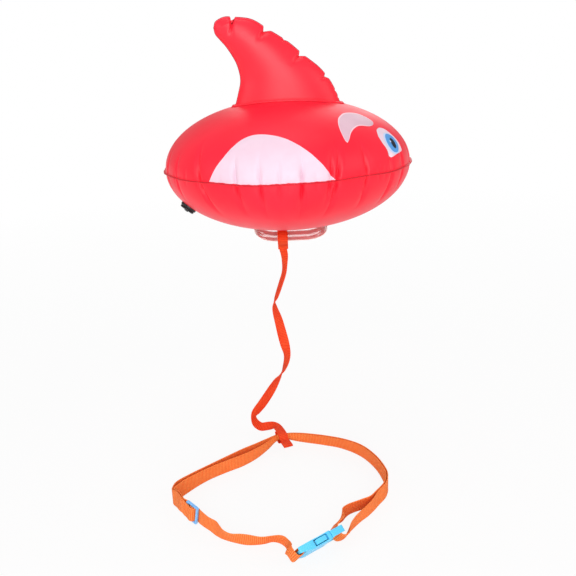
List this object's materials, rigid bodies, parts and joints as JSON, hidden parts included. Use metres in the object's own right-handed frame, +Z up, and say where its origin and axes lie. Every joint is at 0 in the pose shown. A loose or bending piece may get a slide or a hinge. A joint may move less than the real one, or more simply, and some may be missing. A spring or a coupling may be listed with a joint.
{
  "type": "open water swim buoy",
  "caption": "Inflatable swim buoy with a back fin, blow-up valve and clear belly band, on a webbing tether with an adjustable waist belt, slider and side-release buckle.",
  "frame": {"origin": "the lowest point of the float's belly, which is the point it rests or is held at", "axes": "+Z up, +X from the tail to the head, +Y to the float's left side"},
  "size_m": [0.3658, 0.4677, 0.6682],
  "materials": {
    "red_vinyl": "glossy vinyl film",
    "fin_vinyl": "glossy vinyl film",
    "clear_vinyl": "clear glossy vinyl film",
    "black_plastic": "satin",
    "seal_rubber": "soft",
    "orange_webbing": "ribbed woven webbing",
    "tether_webbing": "ribbed woven webbing",
    "blue_plastic": "glossy moulding",
    "pale_blue_plastic": "glossy moulding"
  },
  "bodies": {
    "float": {"hull_upper_panel": "red_vinyl", "hull_lower_panel": "red_vinyl", "fin_port_panel": "fin_vinyl", "fin_starboard_panel": "fin_vinyl", "clear_band": "clear_vinyl", "valve_seat": "black_plastic", "tether_hitch": "tether_webbing", "tether_strap": "tether_webbing", "tether_belt_loop": "tether_webbing", "belt_outer_ply": "orange_webbing", "belt_inner_ply": "orange_webbing", "belt_front_ply": "orange_webbing", "buckle_plug": "blue_plastic"},
    "slider": {"belt_slider": "pale_blue_plastic"},
    "socket": {"buckle_socket": "blue_plastic"},
    "upper_arm": {"buckle_upper_arm": "blue_plastic"},
    "lower_arm": {"buckle_lower_arm": "blue_plastic"},
    "stem": {"valve_stem": "black_plastic"},
    "cap": {"valve_cap": "black_plastic"},
    "check_flap": {"valve_check_flap": "seal_rubber"}
  },
  "joints": [
    {"name": "buckle_release", "type": "slide", "parent": "float", "child": "socket", "axis": [-0.7986, -0.6018, 0], "range_m": [0, 0.03], "deforming": ["belt_front_ply", "buckle_upper_arm", "buckle_lower_arm"]},
    {"name": "upper_arm_press", "type": "hinge", "parent": "float", "child": "upper_arm", "pos_m": [0.03283, -0.26638, -0.35006], "axis": [0.471, -0.625, -0.6225], "range_deg": [0, 12], "stiffness_Nm_per_rad": 0.6},
    {"name": "lower_arm_press", "type": "hinge", "parent": "float", "child": "lower_arm", "pos_m": [0.02503, -0.25604, -0.36634], "axis": [-0.471, 0.625, 0.6225], "range_deg": [0, 12], "stiffness_Nm_per_rad": 0.6},
    {"name": "slider_adjust", "type": "slide", "parent": "float", "child": "slider", "axis": [0.7555, -0.6054, -0.2502], "range_m": [-0.004, 0.004], "deforming": ["belt_outer_ply", "belt_inner_ply", "belt_front_ply"]},
    {"name": "valve_stem_pull", "type": "slide", "parent": "float", "child": "stem", "axis": [-0.6163, -0.2423, -0.7493], "range_m": [0, 0.008]},
    {"name": "valve_cap_pull", "type": "slide", "parent": "stem", "child": "cap", "axis": [-0.6163, -0.2423, -0.7493], "range_m": [0, 0.006]},
    {"name": "valve_flap_open", "type": "hinge", "parent": "float", "child": "check_flap", "pos_m": [-0.13162, -0.05081, 0.05194], "axis": [0.6974, 0.2742, -0.6622], "range_deg": [0, 25], "stiffness_Nm_per_rad": 0.0002}
  ]
}
